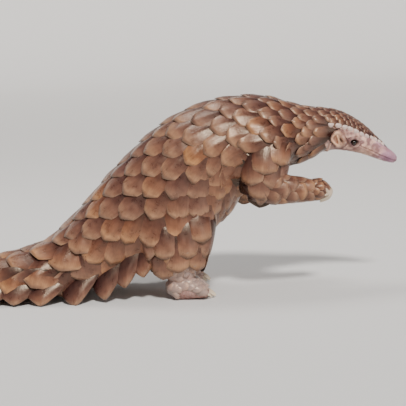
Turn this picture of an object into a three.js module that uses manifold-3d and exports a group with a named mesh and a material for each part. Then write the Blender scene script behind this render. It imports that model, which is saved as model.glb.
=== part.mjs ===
// A life-size pangolin standing on its hind feet with the tail laid behind it as a prop.
// Millimetres, +X towards the snout, +Y to the animal's left, +Z up, floor at Z = 0.
// The trunk, the limbs and the claws are tubes of oval section through a few named stations.
// Horn scutes are wedges rooted in those tubes, laid in staggered rows like roof tiles.
import * as THREE from "three";
import { mergeVertices } from "three/addons/utils/BufferGeometryUtils.js";
import Module from "manifold-3d";

const wasm = await Module();
wasm.setup();
const { Manifold, Mesh: SolidMesh } = wasm;

// Driving dimensions, angles and places. A place along a tube counts its stations.
const GAP = 0.3;
const FLOOR = 0;
const TORSO_ROW_DEG = 27;
const TORSO_LAST_ROW = 4;
const TORSO_PITCH = 54;
const NECK_PITCH = 38;
const HEAD_PITCH = 34;
const HEAD_START = 18.4;
const HEAD_SCUTES_END = 23.1;
const CHEEK_DEG = 62;
const THROAT_START = 17.4;
const THROAT_DEG = 100;
const FLANK_TURN_DEG = 48;
const TAIL_START = 7.6;
const TAIL_SCUTES_END = 0.5;
const TAIL_PITCH = 54;
const TAIL_TIP_PITCH = 48;
const TAIL_ROW_DEG = 33;
const TAIL_LAST_ROW = 2;
const TAIL_SIDE_DEG = 80;
const TAIL_TIP_ROWS_END = 2.5;
const TAIL_TIP_ROW_DEG = 52;
const MARGIN_START = 8.2;
const MARGIN_PITCH = 43;
const MARGIN_BURY = 12;
const STEEPEST_DIP_DEG = 70;
// A scute is longer and wider than its share of the surface by these, so that it overlaps the next.
const TILE_LENGTH = 1.3;
const TILE_WIDTH = 1.7;
// Where the wide end of a scute lies, as a share of its length from its middle.
const SCUTE_ROOT = -0.14;
// How far a scute's edges drop from its crease, as a share of its rise.
const CREASE = 0.45;
const LIMB_SCUTE_RISE = 3.8;
// The scutes of the trunk keep this clear of the limbs.
const LIMB_ROOM = 7;
const LEFT_ARM_BACK = -20;
const LEFT_ARM_DROP = -14;
const LEFT_LEG_BACK = -7;
const ELBOW_NORMAL = [0.747, 0, -0.664];
const ELBOW_OFFSET = -5;
const WRIST_X = 190;
const KNEE_Z = 76;
const ANKLE_Z = 31;
const HAND_CLAW_RADIUS = 5.2;
const FOOT_CLAW_RADIUS = 4.4;
const CLAW_TIP_SHARE = 0.22;
const EYE = { x: 267, y: 21.5, z: 225, radius: 4.6 };
const LID = { out: 1.2, long: 8.5, thick: 4.8, tall: 6.6 };
const LID_OPENING = { out: 7.5, long: 5.4, thick: 6, tall: 3.3 };
const EAR = { x: 242, y: 31, z: 231, long: 12, thick: 7.5, tall: 14 };
const EAR_WALL = 3.2;
const MOUTH = { deg: 118, from: 21.6, to: 25.3, depth: 0.9 };
const NOSTRIL = { x: 334.5, y: 3.4, z: 196, radius: 1.5 };

// Trunk stations from the tail's tip to the snout: centre x and z, half depth up and down, half width.
const TRUNK = [
  { x: -478, z: 8, up: 6, down: 8, side: 8 },
  { x: -435, z: 14, up: 14, down: 14.5, side: 25 },
  { x: -384, z: 20, up: 24, down: 20.5, side: 42 },
  { x: -335, z: 25, up: 31, down: 25.5, side: 54 },
  { x: -290, z: 29, up: 38, down: 29.5, side: 61 },
  { x: -242, z: 34, up: 43, down: 34.5, side: 67 },
  { x: -192, z: 46, up: 50, down: 44, side: 71 },
  { x: -148, z: 70, up: 58, down: 58, side: 74 },
  { x: -108, z: 99, up: 65, down: 68, side: 77 },
  { x: -72, z: 125, up: 75, down: 79, side: 80 },
  { x: -33, z: 151, up: 82, down: 89, side: 82 },
  { x: 0, z: 179, up: 83.5, down: 90, side: 83 },
  { x: 33, z: 206, up: 80, down: 84, side: 81 },
  { x: 63, z: 225, up: 73, down: 72, side: 77 },
  { x: 96, z: 236, up: 65, down: 66, side: 71 },
  { x: 127, z: 241, up: 59, down: 61, side: 64 },
  { x: 159, z: 240, up: 51, down: 53, side: 55 },
  { x: 190, z: 240, up: 43, down: 43, side: 45 },
  { x: 215, z: 243, up: 36, down: 34, side: 37 },
  { x: 237, z: 243, up: 32, down: 31, side: 33 },
  { x: 258, z: 236, up: 28, down: 26.5, side: 29 },
  { x: 277, z: 227, up: 23, down: 21.5, side: 23.5 },
  { x: 294, z: 217, up: 17, down: 17, side: 18 },
  { x: 311, z: 206, up: 12.5, down: 13, side: 13.5 },
  { x: 325, z: 198, up: 9.5, down: 10, side: 10.5 },
  { x: 333, z: 194, up: 6.5, down: 7, side: 7 },
  { x: 336, z: 193, up: 2, down: 2, side: 2 },
];
// Where the trunk is parted, as places along the station list.
const PARTINGS = [
  ["tail_tip", 3.5],
  ["tail_middle", 6],
  ["tail_root", 8],
  ["rump", 11.5],
  ["back", 13.2],
  ["chest", 16.6],
  ["neck", 18.9],
  ["head", Infinity],
];

const lerp = THREE.MathUtils.lerp;
const clamp = THREE.MathUtils.clamp;
const rad = THREE.MathUtils.degToRad;
const Y_AXIS = new THREE.Vector3(0, 1, 0);

// A smooth curve through one named value of the stations.
function splined(stations, key, t) {
  const last = stations.length - 1;
  const i = clamp(Math.floor(t), 0, last - 1);
  const f = t - i;
  const at = (j) => stations[clamp(j, 0, last)][key] ?? 0;
  const [a, b, c, d] = [at(i - 1), at(i), at(i + 1), at(i + 2)];
  const slopeIn = (c - a) / 2;
  const slopeOut = (d - b) / 2;
  const f2 = f * f;
  const f3 = f2 * f;
  return (
    (2 * f3 - 3 * f2 + 1) * b +
    (f3 - 2 * f2 + f) * slopeIn +
    (3 * f2 - 2 * f3) * c +
    (f3 - f2) * slopeOut
  );
}

// A tube of oval section through stations. grow makes it thicker all round, for a gap.
class Tube {
  constructor(stations, grow = 0) {
    this.stations = stations;
    this.grow = grow;
    this.end = stations.length - 1;
  }
  centre(t) {
    return new THREE.Vector3(
      splined(this.stations, "x", t),
      splined(this.stations, "y", t),
      splined(this.stations, "z", t),
    );
  }
  tangent(t) {
    const step = 0.05;
    const a = Math.max(0, t - step);
    const b = Math.min(this.end, t + step);
    return this.centre(b).sub(this.centre(a)).normalize();
  }
  axes(t) {
    const along = this.tangent(t);
    const side = Y_AXIS.clone().addScaledVector(along, -Y_AXIS.dot(along)).normalize();
    const up = new THREE.Vector3().crossVectors(along, side);
    return { along, side, up };
  }
  point(t, angle) {
    const { side, up } = this.axes(t);
    const c = Math.cos(angle);
    const depth = splined(this.stations, c > 0 ? "up" : "down", t) + this.grow;
    const width = splined(this.stations, "side", t) + this.grow;
    return this.centre(t)
      .addScaledVector(up, c * depth)
      .addScaledVector(side, Math.sin(angle) * width);
  }
  // The surface point with its outward normal and the steps that a unit of t and of angle make.
  patch(t, angle) {
    const h = 0.02;
    const origin = this.point(t, angle);
    const perT = this.point(t + h, angle).sub(this.point(t - h, angle)).divideScalar(2 * h);
    const perAngle = this.point(t, angle + h).sub(this.point(t, angle - h)).divideScalar(2 * h);
    const normal = new THREE.Vector3().crossVectors(perAngle, perT).normalize();
    if (normal.dot(origin.clone().sub(this.centre(t))) < 0) normal.negate();
    return { origin, perT, perAngle, normal };
  }
  solid(rings, sides) {
    const positions = [];
    const index = [];
    for (let i = 0; i <= rings; i++)
      for (let j = 0; j < sides; j++)
        positions.push(...this.point((i / rings) * this.end, (j / sides) * 2 * Math.PI).toArray());
    const start = positions.length / 3;
    positions.push(...this.centre(0).addScaledVector(this.tangent(0), -this.grow).toArray());
    positions.push(...this.centre(this.end).addScaledVector(this.tangent(this.end), this.grow).toArray());
    for (let i = 0; i < rings; i++)
      for (let j = 0; j < sides; j++) {
        const k = (j + 1) % sides;
        const [a, b, c, d] = [i * sides + j, i * sides + k, (i + 1) * sides + j, (i + 1) * sides + k];
        index.push(a, c, b, b, c, d);
      }
    for (let j = 0; j < sides; j++) {
      const k = (j + 1) % sides;
      index.push(start, j, k, start + 1, rings * sides + k, rings * sides + j);
    }
    return closedSolid(positions, index);
  }
}

// A closed body from positions and triangles, turned so that its faces point out.
function closedSolid(positions, index) {
  const made = new Manifold(
    new SolidMesh({
      numProp: 3,
      vertProperties: new Float32Array(positions),
      triVerts: new Uint32Array(index),
    }),
  );
  if (made.volume() > 0) return made;
  for (let i = 0; i < index.length; i += 3) [index[i + 1], index[i + 2]] = [index[i + 2], index[i + 1]];
  return closedSolid(positions, index);
}

// A three.js geometry, placed by a matrix, as a solid.
function solidOf(geometry, matrix = new THREE.Matrix4()) {
  const bare = geometry.clone().applyMatrix4(matrix);
  bare.deleteAttribute("normal");
  bare.deleteAttribute("uv");
  const merged = mergeVertices(bare, 1e-4);
  return closedSolid([...merged.attributes.position.array], [...merged.index.array]);
}

// One horn scute: a wedge whose root is sunk in the tube and whose tip stands proud of it.
// turn swings its tip round the normal, from the way to the tube's start.
function scute(tube, t, angle, { length, width, rise, sink, deep, shoulder, turn }) {
  const { origin, perT, perAngle, normal } = tube.patch(t, angle);
  const back = perT.clone().negate();
  back.addScaledVector(normal, -back.dot(normal)).normalize();
  const lie = back.applyAxisAngle(normal, turn);
  const across = new THREE.Vector3().crossVectors(normal, lie);
  const tt = perT.dot(perT);
  const ta = perT.dot(perAngle);
  const aa = perAngle.dot(perAngle);
  const det = tt * aa - ta * ta;
  // How far the curved surface lies below or above the flat tangent plane at a place.
  const height = (x, y) => {
    const step = lie.clone().multiplyScalar(x).addScaledVector(across, y);
    const st = step.dot(perT);
    const sa = step.dot(perAngle);
    const there = tube.point(
      clamp(t + (st * aa - sa * ta) / det, 0, tube.end),
      angle + (sa * tt - st * ta) / det,
    );
    return there.sub(origin).dot(normal);
  };
  const outline = [
    [SCUTE_ROOT, 0.5],
    [shoulder, 0.38],
    [0.5, 0],
    [shoulder, -0.38],
    [SCUTE_ROOT, -0.5],
  ];
  const count = outline.length;
  const positions = [];
  for (const layer of ["top", "bottom"])
    for (const [fx, fy] of outline) {
      const x = fx * length;
      const y = fy * width;
      const lift = lerp(-sink, rise, (fx - SCUTE_ROOT) / (0.5 - SCUTE_ROOT)) - CREASE * rise * Math.abs(fy) * 2;
      const z = height(x, y) + (layer === "top" ? lift : -deep);
      const place = origin.clone().addScaledVector(lie, x).addScaledVector(across, y);
      positions.push(...place.addScaledVector(normal, z).toArray());
    }
  const index = [0, 1, 2, 0, 2, 4, 2, 3, 4, 5, 7, 6, 5, 9, 7, 7, 9, 8];
  for (let i = 0; i < count; i++) {
    const k = (i + 1) % count;
    index.push(i, count + i, k, k, count + i, count + k);
  }
  return closedSolid(positions, index);
}

// Staggered rings of scutes along a tube, from t = from to t = to, on rows either side of middle.
function scuteField(tube, { from, to, middle = 0, rowAngle, lastRow, pitch, style }) {
  const made = [];
  const way = Math.sign(to - from);
  let t = from;
  for (let ring = 0; (to - t) * way > 0; ring++) {
    const step = rad(rowAngle(t));
    for (let row = -lastRow; row <= lastRow; row++) {
      if (Math.abs(row) % 2 !== ring % 2) continue;
      const form = style(t, row * step, step);
      if (form) made.push(scute(tube, t, middle + row * step, form));
    }
    t += (way * pitch(t)) / 2 / tube.patch(t, middle).perT.length();
  }
  return made;
}

// The mean half width of a tube's section at t.
function girth(tube, t) {
  return (splined(tube.stations, "up", t) + splined(tube.stations, "side", t)) / 2;
}

const smooth = THREE.MathUtils.smoothstep;
const union = (solids) => Manifold.union(solids);

// Trunk and tail, with every scute that grows from them
const trunkTube = new Tube(TRUNK);

function torsoPitch(t) {
  if (t > HEAD_START) return HEAD_PITCH;
  return lerp(TORSO_PITCH, NECK_PITCH, smooth(t, 13, 17.5));
}

// On the loins and flanks the scutes swing down towards the thigh.
function flankTurn(t, angle) {
  const rear = smooth(t, 6.5, 9.5) * (1 - smooth(t, 12.5, 15.5));
  return -Math.sign(angle) * rad(FLANK_TURN_DEG) * rear * smooth(Math.abs(angle), 0.3, 1.9);
}

function torsoStyle(t, angle, step) {
  if (t > HEAD_START && Math.abs(angle) > rad(CHEEK_DEG)) return null;
  if (t > THROAT_START && Math.abs(angle) > rad(THROAT_DEG)) return null;
  const r = girth(trunkTube, t);
  const pitch = torsoPitch(t);
  return {
    length: pitch * TILE_LENGTH,
    width: r * step * TILE_WIDTH,
    rise: clamp(pitch * 0.12, 1.6, 4.2),
    sink: clamp(pitch * 0.06, 0.8, 2),
    deep: clamp(r * 0.16, 3, 9),
    shoulder: 0.3,
    turn: flankTurn(t, angle),
  };
}

function tailPitch(t) {
  return lerp(TAIL_TIP_PITCH, TAIL_PITCH, smooth(t, 0, 4));
}

function tailStyle(t, angle, step) {
  if (Math.abs(angle) > rad(TAIL_SIDE_DEG)) return null;
  const r = girth(trunkTube, t);
  const pitch = tailPitch(t);
  return {
    length: pitch * TILE_LENGTH,
    width: r * step * TILE_WIDTH,
    rise: clamp(pitch * 0.11, 1.5, 4.2),
    sink: 1.2,
    deep: clamp(r * 0.2, 2, 8),
    shoulder: 0.22,
    turn: 0,
  };
}

// The pointed scutes along each edge of the tail hang out from it as free plates.
// Where the tail is off the floor they point down, and where it lies they point outwards.
function marginScute(t, side) {
  const half = splined(TRUNK, "side", t);
  const size = smooth(half, 15, 70);
  const raised = smooth(t, 4.5, 7.5);
  const root = trunkTube.point(t, side * rad(lerp(97, 124, raised)));
  const reach = lerp(10, lerp(27, 40, raised), size);
  const width = lerp(24, 50, size);
  const thick = lerp(2.5, 4.5, size);
  const dip = Math.asin(clamp((root.z - thick) / reach, 0.02, Math.sin(rad(STEEPEST_DIP_DEG))));
  const out = new THREE.Vector3(0, side * Math.cos(dip), -Math.sin(dip));
  const back = trunkTube.tangent(t).negate();
  const face = new THREE.Vector3().crossVectors(out, back).normalize();
  const outline = [
    [-MARGIN_BURY, -0.45],
    [0, -0.5],
    [reach * 0.55, -0.12],
    [reach, 0.4],
    [reach * 0.25, 0.5],
    [-MARGIN_BURY, 0.45],
  ];
  const n = outline.length;
  const positions = [];
  for (const way of [0.5, -0.5])
    for (const [o, b] of outline) {
      const taper = lerp(1, 0.3, clamp(o / reach, 0, 1));
      const place = root.clone().addScaledVector(out, o).addScaledVector(back, b * width);
      positions.push(...place.addScaledVector(face, way * thick * taper).toArray());
    }
  const index = [];
  for (let i = 1; i < n - 1; i++) index.push(0, i, i + 1, n, n + i + 1, n + i);
  for (let i = 0; i < n; i++) {
    const k = (i + 1) % n;
    index.push(i, n + i, k, k, n + i, n + k);
  }
  return closedSolid(positions, index);
}

const trunkSkin = (grow) => new Tube(TRUNK, grow).solid(28, 14);

function trunkScutes() {
  const torso = scuteField(trunkTube, {
    from: HEAD_SCUTES_END,
    to: TAIL_START,
    rowAngle: () => TORSO_ROW_DEG,
    lastRow: TORSO_LAST_ROW,
    pitch: torsoPitch,
    style: torsoStyle,
  });
  const tail = scuteField(trunkTube, {
    from: TAIL_START,
    to: TAIL_SCUTES_END,
    rowAngle: (t) => (t < TAIL_TIP_ROWS_END ? TAIL_TIP_ROW_DEG : TAIL_ROW_DEG),
    lastRow: TAIL_LAST_ROW,
    pitch: tailPitch,
    style: tailStyle,
  });
  const margin = [];
  for (let t = MARGIN_START; t > TAIL_SCUTES_END; t -= MARGIN_PITCH / trunkTube.patch(t, 0).perT.length())
    margin.push(marginScute(t, -1), marginScute(t, 1));
  return [...torso, ...tail, ...margin];
}

// The largest closed surface, which drops loose scraps and fills sealed hollows.
function largest(solid) {
  return solid.decompose().reduce((a, b) => (b.volume() > a.volume() ? b : a));
}

// Limbs. side is 1 for the left, -1 for the right; the left pair stands a little differently.
function limbStations(list, side, shiftX, shiftZ) {
  return list.map((s) => ({ ...s, x: s.x + shiftX, y: s.y * side, z: s.z + shiftZ }));
}

const UPPER_ARM = [
  { x: 134, y: 42, z: 262, up: 9, down: 9, side: 8 },
  { x: 132, y: 50, z: 246, up: 31, down: 31, side: 20 },
  { x: 127, y: 59, z: 214, up: 36, down: 36, side: 25 },
  { x: 121, y: 65, z: 186, up: 32, down: 30, side: 24 },
  { x: 118, y: 67, z: 165, up: 22, down: 20, side: 20 },
  { x: 119, y: 67, z: 154, up: 6, down: 6, side: 6 },
];
const FOREARM = [
  { x: 94, y: 67, z: 173, up: 6, down: 6, side: 6 },
  { x: 104, y: 68, z: 171, up: 20, down: 20, side: 18 },
  { x: 130, y: 69, z: 166, up: 24, down: 23, side: 19 },
  { x: 160, y: 67, z: 162, up: 20, down: 19, side: 17 },
  { x: 188, y: 64, z: 159, up: 16, down: 15, side: 15 },
  { x: 197, y: 63, z: 159, up: 13, down: 13, side: 13 },
];
const HAND = [
  { x: 186, y: 64, z: 159, up: 9, down: 9, side: 9 },
  { x: 193, y: 63, z: 159, up: 15, down: 15, side: 15 },
  { x: 205, y: 61, z: 159, up: 17, down: 15, side: 18 },
  { x: 214, y: 60, z: 160, up: 13, down: 11, side: 16 },
  { x: 219, y: 59, z: 160, up: 6, down: 5, side: 9 },
];
const THIGH = [
  { x: -24, y: 42, z: 172, up: 12, down: 12, side: 8 },
  { x: -20, y: 52, z: 150, up: 46, down: 44, side: 20 },
  { x: -14, y: 62, z: 116, up: 60, down: 58, side: 26 },
  { x: -14, y: 67, z: 84, up: 51, down: 53, side: 27 },
  { x: -18, y: 68, z: 60, up: 41, down: 41, side: 26 },
  { x: -10, y: 67, z: 44, up: 26, down: 26, side: 22 },
  { x: -4, y: 66, z: 26, up: 15, down: 17, side: 15 },
];
const FOOT = [
  { x: -29, y: 66, z: 12, up: 6, down: 13, side: 9 },
  { x: -22, y: 66, z: 16, up: 16, down: 17.5, side: 19 },
  { x: -4, y: 66, z: 18, up: 21, down: 19.5, side: 23 },
  { x: 14, y: 66, z: 15, up: 15, down: 16.5, side: 25 },
  { x: 27, y: 66, z: 10, up: 9, down: 11.5, side: 22 },
  { x: 33, y: 66, z: 8, up: 4, down: 8.5, side: 15 },
];
function armShift(side) {
  return side > 0 ? [LEFT_ARM_BACK, LEFT_ARM_DROP] : [0, 0];
}

function legShift(side) {
  return side > 0 ? [LEFT_LEG_BACK, 0] : [0, 0];
}

// Limb scutes cover the outer side, tips towards the foot or hand.
function limbScutes(tube, side, { from, to, pitch, rowDeg }) {
  return scuteField(tube, {
    from,
    to,
    middle: (side * Math.PI) / 2,
    rowAngle: () => rowDeg,
    lastRow: 1,
    pitch: () => pitch,
    style: (t, angle, step) => {
      const r = girth(tube, t);
      return {
        length: pitch * TILE_LENGTH,
        width: r * step * TILE_WIDTH,
        rise: LIMB_SCUTE_RISE,
        sink: 1.2,
        deep: clamp(r * 0.22, 3, 7),
        shoulder: 0.3,
        turn: Math.PI,
      };
    },
  });
}

const armTubes = (side, grow = 0) =>
  [UPPER_ARM, FOREARM, HAND].map((list) => new Tube(limbStations(list, side, ...armShift(side)), grow));
const legTubes = (side, grow = 0) =>
  [THIGH, FOOT].map((list) => new Tube(limbStations(list, side, ...legShift(side)), grow));

// A limb ends where it meets the trunk, short of it by the gap.
function armSolid(side) {
  const [upper, fore, hand] = armTubes(side);
  return union([
    upper.solid(8, 10),
    fore.solid(8, 10),
    hand.solid(5, 8),
    ...limbScutes(upper, side, { from: 1.2, to: 3.9, pitch: 42, rowDeg: 44 }),
    ...limbScutes(fore, side, { from: 1.6, to: 4.2, pitch: 36, rowDeg: 46 }),
  ]).subtract(trunkSkin(GAP));
}

function legSolid(side) {
  const [thigh, foot] = legTubes(side);
  return union([
    thigh.solid(8, 12),
    foot.solid(6, 8),
    ...limbScutes(thigh, side, { from: 1, to: 3.9, pitch: 46, rowDeg: 42 }),
  ]).subtract(trunkSkin(GAP));
}

// The room round the limbs that the scutes of the trunk keep clear of.
function limbRoom(side) {
  const [upper, fore] = armTubes(side, LIMB_ROOM);
  const [thigh] = legTubes(side, LIMB_ROOM);
  return union([upper.solid(6, 10), fore.solid(5, 8), thigh.solid(6, 12)]);
}

// Claws: short curved cones from a row of knuckles.
function clawSolid(path, radius) {
  const last = path.length - 1;
  const stations = path.map(([x, y, z], i) => {
    const r = lerp(radius, radius * CLAW_TIP_SHARE, i / last) * (i === 0 ? 0.8 : 1);
    return { x, y, z, up: r, down: r, side: r * 0.8 };
  });
  return new Tube(stations).solid(last, 5);
}

const HAND_CLAWS = [
  { y: 49, size: 0.6 },
  { y: 54, size: 0.95 },
  { y: 61, size: 1.15 },
  { y: 68, size: 0.95 },
  { y: 74, size: 0.6 },
];
const FOOT_CLAWS = [
  { y: 50, size: 0.7, back: 6 },
  { y: 57, size: 0.95, back: 1 },
  { y: 65, size: 1, back: 0 },
  { y: 73, size: 0.95, back: 1 },
  { y: 80, size: 0.7, back: 6 },
];

function handClaw(claw, side) {
  const [dx, dz] = armShift(side);
  const s = claw.size;
  const path = [
    [205 + dx, claw.y * side, 161 + dz],
    [212 + dx + 3 * s, claw.y * side, 161 + dz],
    [213 + dx + 6 * s, claw.y * side, 156 + dz],
    [211 + dx + 5 * s, claw.y * side, 160 - 12 * s + dz],
    [202 + dx, claw.y * side, 160 - 18 * s + dz],
  ];
  const hand = armTubes(side, GAP)[2];
  return clawSolid(path, HAND_CLAW_RADIUS * s).subtract(hand.solid(5, 8));
}

function footClaw(claw, side) {
  const [dx] = legShift(side);
  const s = claw.size;
  const path = [
    [18 + dx - claw.back, claw.y * side, 10],
    [29 + dx - claw.back, claw.y * side, 10],
    [37 + dx - claw.back, claw.y * side, 7.5],
    [43 + dx - claw.back, claw.y * side, 3],
  ];
  const foot = legTubes(side, GAP)[1];
  return clawSolid(path, FOOT_CLAW_RADIUS * s).subtract(foot.solid(6, 8));
}

// Head details: eyes with lids, ears, nostrils and the line of the mouth
function ball({ x, y, z }, rx, ry = rx, rz = rx, across = 10) {
  const shape = new THREE.SphereGeometry(1, across, Math.round(across * 0.7));
  const matrix = new THREE.Matrix4().makeScale(rx, ry, rz).setPosition(x, y, z);
  return solidOf(shape, matrix);
}

function eyeSolid(side, grow = 0) {
  return ball({ ...EYE, y: EYE.y * side }, EYE.radius + grow);
}

// A low mound round the eye, slit open between the lids.
function lidSolid(side) {
  return ball({ ...EYE, y: (EYE.y + LID.out) * side }, LID.long, LID.thick, LID.tall, 12);
}

function lidOpening(side) {
  const { out, long, thick, tall } = LID_OPENING;
  return ball({ ...EYE, y: (EYE.y + out) * side }, long, thick, tall, 8);
}

// A pinna: a standing oval shell that opens forwards and outwards.
function earSolid(side) {
  const outer = ball({ ...EAR, y: EAR.y * side }, EAR.long, EAR.thick, EAR.tall, 12);
  const cupMiddle = { x: EAR.x + 2.5, y: (EAR.y + EAR.thick) * side, z: EAR.z - 0.5 };
  const cup = ball(cupMiddle, EAR.long - EAR_WALL, EAR.thick - 0.5, EAR.tall - EAR_WALL, 10);
  return outer.subtract(cup).subtract(trunkSkin(GAP));
}

// The room round an ear that the scutes of the head keep clear of.
function earRoom(side) {
  return ball({ ...EAR, y: EAR.y * side }, EAR.long + GAP, EAR.thick + GAP, EAR.tall + GAP, 12);
}

function mouthGroove(side) {
  const steps = 4;
  const stations = [];
  for (let i = 0; i <= steps; i++) {
    const t = lerp(MOUTH.from, MOUTH.to, i / steps);
    const [x, y, z] = trunkTube.point(t, side * rad(MOUTH.deg)).toArray();
    stations.push({ x, y, z, up: MOUTH.depth, down: MOUTH.depth, side: MOUTH.depth });
  }
  return new Tube(stations).solid(steps, 4);
}

function meshOf(name, solid, colour, roughness) {
  const { vertProperties, triVerts } = solid.getMesh();
  const geometry = new THREE.BufferGeometry();
  geometry.setAttribute("position", new THREE.BufferAttribute(new Float32Array(vertProperties), 3));
  geometry.setIndex(new THREE.BufferAttribute(new Uint32Array(triVerts), 1));
  const material = new THREE.MeshStandardMaterial({ color: colour, roughness, metalness: 0 });
  const mesh = new THREE.Mesh(geometry, material);
  mesh.name = name;
  return mesh;
}

// What lies beyond a plane, in the way that its normal points, less half the gap.
function beyond(solid, normal, offset) {
  return solid.trimByPlane(normal, offset + GAP / 2);
}

const flip = ([x, y, z]) => [-x, -y, -z];
const above = (solid) => solid.trimByPlane([0, 0, 1], FLOOR);

const HORN = { colour: 0x8f6f52, roughness: 0.45 };
const SKIN = { colour: 0xb99a90, roughness: 0.6 };
const CLAW = { colour: 0xcbb49c, roughness: 0.4 };
const EYEBALL = { colour: 0x0c0a09, roughness: 0.1 };
const SIDES = [
  ["right", -1],
  ["left", 1],
];

const model = new THREE.Group();
const add = (name, solid, { colour, roughness }) =>
  model.add(meshOf(name, largest(above(solid)), colour, roughness));

// Trunk: its scutes keep clear of the limbs and ears, and it is opened for the eyes, nostrils and mouth.
const rooms = SIDES.flatMap(([, side]) => [limbRoom(side), earRoom(side)]);
const tiles = union(trunkScutes()).subtract(union(rooms));
const openings = SIDES.flatMap(([, side]) => [
  eyeSolid(side, GAP),
  lidOpening(side),
  mouthGroove(side),
  ball({ ...NOSTRIL, y: NOSTRIL.y * side }, NOSTRIL.radius, NOSTRIL.radius, NOSTRIL.radius, 6),
]);
const lids = SIDES.map(([, side]) => lidSolid(side));
let rest = largest(union([trunkSkin(0), tiles, ...lids]).subtract(union(openings)));
for (const [name, end] of PARTINGS) {
  if (end === Infinity) {
    add(name, rest, HORN);
    break;
  }
  const normal = trunkTube.tangent(end).toArray();
  const offset = trunkTube.centre(end).dot(new THREE.Vector3(...normal));
  add(name, beyond(rest, flip(normal), -offset), HORN);
  rest = beyond(rest, normal, offset);
}

for (const [name, side] of SIDES) {
  const [armX, armZ] = armShift(side);
  const arm = armSolid(side);
  const elbow = ELBOW_OFFSET + ELBOW_NORMAL[0] * armX + ELBOW_NORMAL[2] * armZ;
  const pastElbow = beyond(arm, ELBOW_NORMAL, elbow);
  add("upper_arm_" + name, beyond(arm, flip(ELBOW_NORMAL), -elbow), HORN);
  add("forearm_" + name, beyond(pastElbow, [-1, 0, 0], -(WRIST_X + armX)), HORN);
  add("hand_" + name, beyond(pastElbow, [1, 0, 0], WRIST_X + armX), SKIN);
  HAND_CLAWS.forEach((claw, i) => add(`hand_claw_${name}_${i + 1}`, handClaw(claw, side), CLAW));

  const leg = legSolid(side);
  const belowKnee = beyond(leg, [0, 0, -1], -KNEE_Z);
  add("thigh_" + name, beyond(leg, [0, 0, 1], KNEE_Z), HORN);
  add("shank_" + name, beyond(belowKnee, [0, 0, 1], ANKLE_Z), HORN);
  add("foot_" + name, beyond(belowKnee, [0, 0, -1], -ANKLE_Z), SKIN);
  FOOT_CLAWS.forEach((claw, i) => add(`foot_claw_${name}_${i + 1}`, footClaw(claw, side), CLAW));

  add("eye_" + name, eyeSolid(side), EYEBALL);
  add("ear_" + name, earSolid(side), SKIN);
}

// The origin is under the middle of the whole animal, on the floor.
const box = new THREE.Box3().setFromObject(model);
const middle = box.getCenter(new THREE.Vector3());
model.children.forEach((mesh) => mesh.position.set(-middle.x, -middle.y, -box.min.z));

export default model;
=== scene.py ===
# A life-size pangolin: one skin, horn scales, claws and eyes on the solid model, in studio light.
# Metres, in the frame of the solids: +X towards the snout, +Y to the animal's left, floor at Z = 0.
import math
import random

import bmesh
import bpy
import numpy as np
from mathutils import Matrix, Vector, noise


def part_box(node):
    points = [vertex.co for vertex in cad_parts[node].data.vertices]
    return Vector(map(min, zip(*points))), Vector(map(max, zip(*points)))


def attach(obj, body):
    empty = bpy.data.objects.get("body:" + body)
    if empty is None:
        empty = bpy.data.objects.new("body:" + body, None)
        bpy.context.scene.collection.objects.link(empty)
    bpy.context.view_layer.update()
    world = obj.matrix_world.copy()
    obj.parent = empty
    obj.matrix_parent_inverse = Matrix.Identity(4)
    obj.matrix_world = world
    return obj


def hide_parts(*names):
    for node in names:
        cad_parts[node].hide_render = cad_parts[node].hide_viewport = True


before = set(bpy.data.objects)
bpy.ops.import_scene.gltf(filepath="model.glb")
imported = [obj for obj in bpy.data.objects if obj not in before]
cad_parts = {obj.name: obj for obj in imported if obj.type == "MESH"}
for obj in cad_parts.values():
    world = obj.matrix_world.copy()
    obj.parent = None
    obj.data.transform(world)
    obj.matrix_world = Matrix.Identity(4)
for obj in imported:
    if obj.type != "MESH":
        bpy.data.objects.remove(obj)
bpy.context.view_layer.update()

MM = 0.001
SEED = 7
SIDES = {"right": -1, "left": 1}

# The stations of the solids, in millimetres: x, y, z, half depth up, half depth down, half width.
TRUNK = [
    (-478, 0, 8, 6, 8, 8),
    (-435, 0, 14, 14, 14.5, 25),
    (-384, 0, 20, 24, 20.5, 42),
    (-335, 0, 25, 31, 25.5, 54),
    (-290, 0, 29, 38, 29.5, 61),
    (-242, 0, 34, 43, 34.5, 67),
    (-192, 0, 46, 50, 44, 71),
    (-148, 0, 70, 58, 58, 74),
    (-108, 0, 99, 65, 68, 77),
    (-72, 0, 125, 75, 79, 80),
    (-33, 0, 151, 82, 89, 82),
    (0, 0, 179, 83.5, 90, 83),
    (33, 0, 206, 80, 84, 81),
    (63, 0, 225, 73, 72, 77),
    (96, 0, 236, 65, 66, 71),
    (127, 0, 241, 59, 61, 64),
    (159, 0, 240, 51, 53, 55),
    (190, 0, 240, 43, 43, 45),
    (215, 0, 243, 36, 34, 37),
    (237, 0, 243, 32, 31, 33),
    (258, 0, 236, 28, 26.5, 29),
    (277, 0, 227, 23, 21.5, 23.5),
    (294, 0, 217, 17, 17, 18),
    (311, 0, 206, 12.5, 13, 13.5),
    (325, 0, 198, 9.5, 10, 10.5),
    (333, 0, 194, 6.5, 7, 7),
    (336, 0, 193, 2, 2, 2),
]
UPPER_ARM = [
    (134, 42, 262, 9, 9, 8),
    (132, 50, 246, 31, 31, 20),
    (127, 59, 214, 36, 36, 25),
    (121, 65, 186, 32, 30, 24),
    (118, 67, 165, 22, 20, 20),
    (119, 67, 154, 6, 6, 6),
]
FOREARM = [
    (94, 67, 173, 6, 6, 6),
    (104, 68, 171, 20, 20, 18),
    (130, 69, 166, 24, 23, 19),
    (160, 67, 162, 20, 19, 17),
    (188, 64, 159, 16, 15, 15),
    (197, 63, 159, 13, 13, 13),
]
HAND = [
    (186, 64, 159, 9, 9, 9),
    (193, 63, 159, 15, 15, 15),
    (205, 61, 159, 17, 15, 18),
    (214, 60, 160, 13, 11, 16),
    (219, 59, 160, 6, 5, 9),
]
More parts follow.
